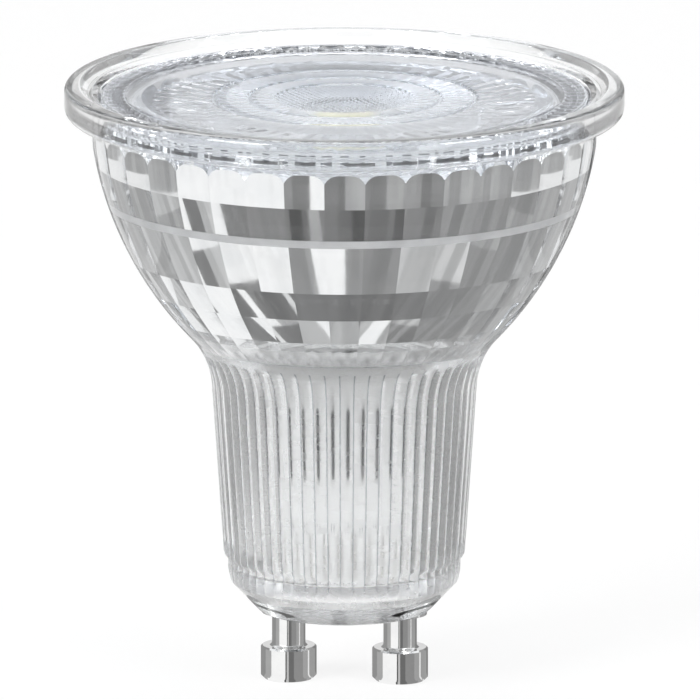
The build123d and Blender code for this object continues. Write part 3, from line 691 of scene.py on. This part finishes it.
# %% [markdown]
# ## The front lens
#
# The lens is one clear moulding. Its edge and its top border are serrated, two fine ring grooves
# run round the top, and a round eye is covered in tiny lens bumps, which blur the picture of the
# LED chips. Underneath, a horn with V flutes gathers the light. The rings of points carry these
# patterns as small changes of height or radius, so the lens bends light the way the real one does.
# There are three finishes: clear plastic, a satin horn, and a border with a grey tint, which is
# painted shade for the darker look of the lens's outer ring.

# %% Lens: patterns
LENS_SIDES = 720
TEETH = 90
EDGE_TEETH = 0.05
FLUTES = 60
FLUTE_DEPTH = 0.3
EYE_SIDES = 360
EYE_R, EYE_Z = 6.2, 53.0
EYE_PITCH, EYE_SLANT, EYE_BUMP = 0.62, 0.6, 0.035


def tooth(a, height):
    """A fine radial serration."""
    return height * abs(2 * ((a * TEETH / (2 * math.pi)) % 1) - 1)


def flute(a, radius):
    """Radius of the fluted horn at an angle."""
    return radius - FLUTE_DEPTH * abs(2 * ((a * FLUTES / (2 * math.pi)) % 1) - 1)


def eye_z(x, y):
    """Height of the eye, a mesh of small round bumps."""
    u = math.cos(2 * math.pi * (x + EYE_SLANT * y) / EYE_PITCH)
    v = math.cos(2 * math.pi * (x - EYE_SLANT * y) / EYE_PITCH)
    return EYE_Z + EYE_BUMP * (u + v)


print("teeth and flutes:", TEETH, FLUTES)

# %% Lens: edge and top
PLAIN, HORN, SHADED_BORDER = range(3)
HORN_R, EDGE_R, EDGE_TOP = 12.0, 21.5, 53.35
top = [  # radius, height, height of the serration
    (21.74, 51.95, 0), (21.74, 52.3, 0), (21.55, 52.45, 0), (21.74, 52.6, 0), (21.74, 53.3, 0),
    (21.65, 53.4, 0), (21.45, 53.4, 0), (21.3, 53.22, 0.18), (20.6, 53.22, 0.18),
    (19.95, 53.22, 0.18), (19.75, 53.4, 0), (19.6, 53.4, 0), (19.5, 53.3, 0), (19.35, 53.15, 0),
    (18.0, 53.15, 0), (15.5, 53.15, 0), (13.5, 53.15, 0), (12.05, 53.15, 0), (11.9, 53.12, 0),
    (11.82, 53.03, 0), (11.62, 53.03, 0), (11.55, 53.12, 0), (11.4, 53.15, 0), (10.0, 53.15, 0),
    (8.9, 53.15, 0), (8.75, 53.12, 0), (8.67, 53.03, 0), (8.47, 53.03, 0), (8.4, 53.12, 0),
    (8.25, 53.15, 0), (7.2, 53.15, 0), (6.4, 53.15, 0), (6.25, 53.12, 0), (EYE_R, EYE_Z, 0),
]

lens = bmesh.new()
top_rings = []
for r, z, teeth in top:
    height = (lambda a: z + tooth(a, teeth)) if teeth else z
    radius = (lambda a: r - tooth(a, EDGE_TEETH)) if z < EDGE_TOP and r > EDGE_R else r
    top_rings.append(round_ring(lens, LENS_SIDES, radius, height))
# Border faces take the grey tint of painted shade.
for (r, z, teeth), first, second in zip(top, top_rings, top_rings[1:]):
    join_rings(lens, first, second, SHADED_BORDER if HORN_R < r < EDGE_R else PLAIN, True)
print("lens top rows:", len(top_rings))

# %% Lens: eye
EYE_EDGE = EYE_R - 0.04
EYE_ROWS, EYE_FADE_ROWS = 56, 3

inner = round_ring(lens, EYE_SIDES, EYE_EDGE, EYE_Z)
join_rings(lens, inner, top_rings[-1], PLAIN, True)
for k in range(1, EYE_ROWS):
    r = EYE_EDGE * (1 - k / EYE_ROWS)
    fade = min(1.0, k / EYE_FADE_ROWS)
    ring = round_ring(
        lens, EYE_SIDES, r,
        lambda a: EYE_Z + fade * (eye_z(r * math.cos(a), r * math.sin(a)) - EYE_Z))
    join_rings(lens, inner, ring, PLAIN, True)
    inner = ring
close_with_point(lens, inner, lens.verts.new((0, 0, eye_z(0, 0) * MM)))
print("lens faces with the eye:", len(lens.faces))

# %% Lens: horn and cup
CUP_TOP = 48.9
bottom = [  # radius, height, whether the flutes run here
    (21.73, 51.92, 0), (20.6, 51.92, 0), (19.9, 51.92, 0), (19.0, 51.8, 0), (18.0, 51.7, 0),
    (17.4, 51.7, 0), (17.1, 51.68, 1), (16.0, 51.1, 1), (14.9, 50.5, 1), (13.75, 49.9, 1),
    (12.6, 49.3, 1), (10.8, 48.75, 1), (9.0, 48.2, 1), (7.2, 47.65, 1), (5.4, 47.1, 1),
    (4.6, 47.1, 0), (4.4, 48.4, 0), (4.2, 49.7, 0), (3.4, 49.42, 0), (2.6, 49.2, 0),
    (1.6, 49.02, 0), (0.7, 48.92, 0),
]

previous = top_rings[0]
for r, z, fluted in bottom:
    radius = (lambda a: flute(a, r)) if fluted else r
    ring = round_ring(lens, LENS_SIDES, radius, z)
    join_rings(lens, previous, ring, HORN if r < HORN_R else SHADED_BORDER, not fluted)
    previous = ring
close_with_point(lens, previous, lens.verts.new((0, 0, CUP_TOP * MM)))
bmesh.ops.recalc_face_normals(lens, faces=lens.faces)
print("open edges of the lens:", open_edges(lens))
lens_moulding = new_piece("lens_moulding", lens, (lens_plastic, lens_horn, shaded_lens_border))
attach(lens_moulding, "root")
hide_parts("front_lens")
print("lens faces:", len(lens_moulding.data.polygons))

# %% [markdown]
# ## Finishes on the CAD pieces
#
# The pieces inside the bulb and the pins already have their true shape in the CAD, so they stay
# and only get better materials. A plain table of names keeps this short.

# %% Finishes on the CAD pieces
node_finish = {
    "lens_bead": clear_sealant,
    "heat_spreader": aluminium,
    "led_board": white_mask,
    "led_dam": white_silicone,
    "led_phosphor": phosphor_gel,
    "driver_board": white_mask,
    "solder_joint_left": tin_solder,
    "solder_joint_right": tin_solder,
    "choke": black_sleeve,
    "bulk_capacitor": can_sleeve,
    "bridge_rectifier": black_epoxy,
    "driver_chip": black_epoxy,
    "film_capacitor": red_dip,
    "fuse_resistor": green_coat,
    "output_diode": black_epoxy,
    "chip_resistor_left": chip_glaze,
    "chip_resistor_middle": chip_glaze,
    "chip_resistor_right": chip_glaze,
    "supply_lead_left": tinned,
    "supply_lead_right": tinned,
    "contact_pin_left": nickel,
    "contact_pin_right": nickel,
}
for name, material in node_finish.items():
    for slot in nodes[name].material_slots:
        slot.material = material
print("finished nodes:", len(node_finish))

# %% [markdown]
# ## Studio
#
# A glass bulb takes its look from what is round it. The floor and the sky are white to the camera
# and to the rays that metal and glass send out, while the lamps stay at a plain level. A large
# soft lamp stands at the left front, a weaker one at the right, and one hangs above.

# %% Floor
FLOOR_HALF = 3.0
FLOOR_GLOW = 0.85


def background_rays(tree):
    """One where a ray comes from the camera, from metal or through glass."""
    path = add_node(tree, "ShaderNodeLightPath")
    first = add_node(tree, "ShaderNodeMath", operation="MAXIMUM")
    second = add_node(tree, "ShaderNodeMath", operation="MAXIMUM")
    wire(tree,
         (path.outputs["Is Camera Ray"], first.inputs[0]),
         (path.outputs["Is Glossy Ray"], first.inputs[1]),
         (first.outputs[0], second.inputs[0]),
         (path.outputs["Is Transmission Ray"], second.inputs[1]))
    return second.outputs[0]


floor_mesh = bpy.data.meshes.new("floor")
floor_corners = [(x * FLOOR_HALF, y * FLOOR_HALF, 0) for x, y in ((-1, -1), (1, -1), (1, 1), (-1, 1))]
floor_mesh.from_pydata(floor_corners, [], [(0, 1, 2, 3)])
floor = bpy.data.objects.new("floor", floor_mesh)
scene.collection.objects.link(floor)

paper = bpy.data.materials.new("white_paper")
paper.use_nodes = True
tree = paper.node_tree
tree.nodes.clear()
output = add_node(tree, "ShaderNodeOutputMaterial")
shade = add_node(tree, "ShaderNodeBsdfDiffuse")
shade.inputs["Color"].default_value = (0.9, 0.9, 0.9, 1.0)
glow = add_node(tree, "ShaderNodeEmission")
share = add_node(tree, "ShaderNodeMath", operation="MULTIPLY")
share.inputs[1].default_value = FLOOR_GLOW
mix = add_node(tree, "ShaderNodeMixShader")
wire(tree,
     (background_rays(tree), share.inputs[0]),
     (share.outputs[0], mix.inputs["Fac"]),
     (shade.outputs[0], mix.inputs[1]),
     (glow.outputs[0], mix.inputs[2]),
     (mix.outputs[0], output.inputs["Surface"]))
floor_mesh.materials.append(paper)
print("floor half size m:", FLOOR_HALF)

# %% World and lamps
world = bpy.data.worlds.new("studio")
scene.world = world
world.use_nodes = True
tree = world.node_tree
tree.nodes.clear()
output = add_node(tree, "ShaderNodeOutputWorld")
ambient = add_node(tree, "ShaderNodeBackground")
ambient.inputs["Color"].default_value = (0.97, 0.98, 1.0, 1.0)
ambient.inputs["Strength"].default_value = 0.5
seen = add_node(tree, "ShaderNodeBackground")
seen.inputs["Color"].default_value = (0.97, 0.985, 1.0, 1.0)
seen.inputs["Strength"].default_value = 1.0
mix = add_node(tree, "ShaderNodeMixShader")
wire(tree,
     (background_rays(tree), mix.inputs["Fac"]),
     (ambient.outputs[0], mix.inputs[1]),
     (seen.outputs[0], mix.inputs[2]),
     (mix.outputs[0], output.inputs["Surface"]))


def soft_lamp(name, place, size, watts):
    """A square soft lamp that faces the bulb."""
    data = bpy.data.lights.new(name, "AREA")
    data.size = size
    data.energy = watts
    lamp = bpy.data.objects.new(name, data)
    scene.collection.objects.link(lamp)
    lamp.location = Vector(place)
    lamp.rotation_euler = (lamp.location - target).to_track_quat("Z", "Y").to_euler()


soft_lamp("left_softbox", (-0.5, -0.55, 0.45), 0.35, 6.0)
soft_lamp("right_fill", (0.6, -0.4, 0.3), 0.3, 3.0)
soft_lamp("top_light", (0.0, 0.2, 0.8), 0.4, 2.0)
print("lamps:", [light.name for light in bpy.data.lights])

# %% [markdown]
# ## Reflection cards
#
# Bright metal and silver look like what they reflect. Photographers put grey and white card round
# a mirror, out of the picture, so that it has both light and dark to show. The cards here are seen
# only by rays that have been reflected: the camera looks straight through them. Each card also
# counts the glass faces that a ray has passed. A ray from a facet has gone in and out of the glass
# once, so it has passed two. A ray from a pin has passed none.

# %% Card helpers
OPEN_AIR, IN_AND_OUT, ANY_GLASS = (0, 0), (2, 2), (1, 24)
COUNT_SLACK = 0.4
CARD_Z = 0.4
rng = random.Random(7)


def make_card(name, quads, tones, passes):
    """A card for reflected rays that have passed a number of glass faces, from least to most."""
    mesh = bpy.data.meshes.new(name)
    corners = [tuple(value * MM for value in corner) for quad in quads for corner in quad]
    mesh.from_pydata(corners, [], [tuple(range(4 * k, 4 * k + 4)) for k in range(len(quads))])
    mesh.attributes.new("tone", "FLOAT", "FACE").data.foreach_set("value", tones)
    card = bpy.data.objects.new(name, mesh)
    scene.collection.objects.link(card)
    paper = bpy.data.materials.new(name)
    paper.use_nodes = True
    tree = paper.node_tree
    tree.nodes.clear()
    output = add_node(tree, "ShaderNodeOutputMaterial")
    path = add_node(tree, "ShaderNodeLightPath")
    reflected = add_node(tree, "ShaderNodeMath", operation="GREATER_THAN")
    reflected.inputs[1].default_value = 0.5
    counted = add_node(tree, "ShaderNodeMath", operation="COMPARE")
    counted.inputs[1].default_value = sum(passes) / 2
    counted.inputs[2].default_value = (passes[1] - passes[0]) / 2 + COUNT_SLACK
    both = add_node(tree, "ShaderNodeMath", operation="MULTIPLY")
    nothing = add_node(tree, "ShaderNodeBsdfTransparent")
    glow = add_node(tree, "ShaderNodeEmission")
    tone = add_node(tree, "ShaderNodeAttribute", attribute_name="tone")
    mix = add_node(tree, "ShaderNodeMixShader")
    wire(tree,
         (path.outputs["Glossy Depth"], reflected.inputs[0]),
         (path.outputs["Transmission Depth"], counted.inputs[0]),
         (reflected.outputs[0], both.inputs[0]),
         (counted.outputs[0], both.inputs[1]),
         (both.outputs[0], mix.inputs["Fac"]),
         (tone.outputs["Fac"], glow.inputs["Color"]),
         (nothing.outputs[0], mix.inputs[1]),
         (glow.outputs[0], mix.inputs[2]),
         (mix.outputs[0], output.inputs["Surface"]))
    mesh.materials.append(paper)
    print(name, "fields:", len(quads))


def at(reach, turn, z, x=0.0):
    """A point at a distance and an angle from the front, round the bulb or a pin."""
    a = math.radians(turn)
    return (x + reach * math.sin(a), -reach * math.cos(a), z)


def flat_field(near, far, first, last, z, x=0.0):
    """A flat field between two distances and two angles."""
    return [at(near, first, z, x), at(far, first, z, x), at(far, last, z, x), at(near, last, z, x)]


def upright_field(reach, first, last, low, high, x=0.0):
    """An upright field between two angles and two heights."""
    places = ((first, low), (last, low), (last, high), (first, high))
    return [at(reach, turn, z, x) for turn, z in places]


print("card helpers:", make_card.__name__, flat_field.__name__, upright_field.__name__)

# %% [markdown]
# ## The facet card
#
# This card lies flat round the bulb, because the facets look down and outward. Each row of facets
# sees mostly its own zone of it. Most zones are white at the left and have darker fields elsewhere,
# and fine streaks make the greys uneven. Behind the bulb the card turns up into a striped wall.

# %% Facet card
SECTOR, STREAK = 1, 3
REACHES = (12, 16, 20, 26, 32, 38, 45, 53, 62, 72, 83, 94, 106, 120, 140, 170, 300)
WALL_TURN, WALL_H = 95, 240
STRIPE, STRIPE_WIDE, STRIPE_GREY, WALL_GREYS = 20, 6, 0.06, (0.3, 0.5)
STREAK_GREYS, GRAIN, PALE = (0.74, 1.16), (0.94, 1.06), 0.9
zones = [  # near and far edge, then fields of from and to angle and grey; later ones lie on top
    (12, 300, [(-180, 180, 0.38)]),
    (94, 300, [(-78, -15, 1.0), (-15, -8, 0.24), (-8, 5, 0.5), (5, 12, 0.2), (12, 24, 0.4),
               (24, 30, 0.25), (36, 44, 0.22), (44, 56, 0.38)]),
    (62, 94, [(-180, 180, 0.19), (-62, -25, 0.25), (-140, -75, 0.55), (-70, -66, 1.0),
              (-17, -15, 0.4), (-14, -12, 0.08), (0, 4, 0.08), (18, 23, 0.1), (44, 52, 0.28),
              (56, 140, 0.28)]),
    (70, 94, [(-52, -48, 1.0)]),
    (45, 62, [(-140, -20, 0.95), (-20, -16, 1.0), (-16, 5, 0.36), (5, 10, 1.0), (20, 30, 0.3),
              (40, 74, 0.58)]),
    (20, 45, [(-78, 60, 0.18), (-130, -78, 1.0), (-66, -63, 1.0), (-47, -45, 0.8),
              (60, 140, 0.26)]),
    (12, 20, [(-70, 70, 0.5), (-52, -46, 1.0), (-34, -28, 1.0), (-8, -3, 1.0), (-3, 0, 0.1),
              (14, 22, 1.0), (22, 25, 0.1), (32, 38, 1.0), (50, 56, 1.0)]),
]


def zone_grey(turn, reach):
    """The grey of the topmost field at an angle and a distance."""
    return [grey for near, far, fields in zones if near < reach < far
            for first, last, grey in fields if first < turn < last][-1]


streaks = [rng.uniform(*STREAK_GREYS) for turn in range(0, 360, STREAK)]
quads, tones = [], []
for near, far in zip(REACHES, REACHES[1:]):
    for turn in range(-180, 180, SECTOR):
        quads.append(flat_field(near, far, turn, turn + SECTOR, CARD_Z))
        grey = zone_grey(turn + SECTOR / 2, (near + far) / 2)
        if grey < PALE:
            grey *= streaks[(turn % 360) // STREAK]
        tones.append(min(1.0, grey * rng.uniform(*GRAIN)))
for turn in range(WALL_TURN, 360 - WALL_TURN, SECTOR):
    quads.append(upright_field(REACHES[-1], turn, turn + SECTOR, CARD_Z, WALL_H))
    tones.append(STRIPE_GREY if turn % STRIPE < STRIPE_WIDE else rng.uniform(*WALL_GREYS))
make_card("facet_card", quads, tones, IN_AND_OUT)

# %% [markdown]
# ## Cards for the pins, the glass and the edges
#
# A small cup of card stands round each pin and gives it upright bands of light and dark. A wide
# white ring hangs round the bulb at the height of the bowl, for rays that bounce about in the
# glass. Grey flags behind the bulb are what the outer skin of the bowl mirrors at its edges, and
# they draw its thin dark outline on the white ground.

# %% Pin cups
CUP_R, CUP_LOW, CUP_HIGH, PIN_CLEAR_R = 4.8, 0.05, 6.3, 2.0
bands = [  # start angle, seen from the camera, and grey
    (-180, 0.75), (-150, 0.3), (-86, 0.42), (-58, 1.0), (-10, 0.1), (-6, 0.55), (0, 0.16),
    (16, 0.28), (46, 0.38), (66, 0.9), (72, 0.36), (110, 0.24), (150, 0.75),
]

quads, tones = [], []
for x in (-PIN_X, PIN_X):
    for turn in range(-180, 180, SECTOR):
        first, last = turn + CAMERA_TURN, turn + CAMERA_TURN + SECTOR
        quads.append(upright_field(CUP_R, first, last, CUP_LOW, CUP_HIGH, x))
        quads.append(flat_field(PIN_CLEAR_R, CUP_R, first, last, CUP_LOW, x))
        tones += [[grey for start, grey in bands if start <= turn][-1]] * 2
make_card("pin_cups", quads, tones, OPEN_AIR)

# %% High ring
RING_REACH, RING_LOW, RING_HIGH, RING_STEP = 60.0, 36.0, 62.0, 2
RING_GREY = 0.85

quads = []
for turn in range(-180, 180, RING_STEP):
    quads.append(upright_field(RING_REACH, turn, turn + RING_STEP, RING_LOW, RING_HIGH))
make_card("high_ring", quads, [RING_GREY] * len(quads), ANY_GLASS)

# %% Edge flags
FLAG_REACH, FLAG_H, FLAG_GREY = 320, 260, 0.5
FLAG_NEAR, FLAG_FAR, FLAG_DARK = 55, 215, 0.12
FLAG_STEP = 2

quads, tones = [], []
for turn in (*range(156, 172, FLAG_STEP), *range(188, 204, FLAG_STEP)):
    quads.append(upright_field(FLAG_REACH, turn, turn + FLAG_STEP, CARD_Z, FLAG_H))
    tones.append(FLAG_GREY)
for turn in (*range(154, 176, FLAG_STEP), *range(184, 206, FLAG_STEP)):
    quads.append(flat_field(FLAG_NEAR, FLAG_FAR, turn, turn + FLAG_STEP, CARD_Z))
    tones.append(FLAG_DARK)
make_card("edge_flags", quads, tones, OPEN_AIR)
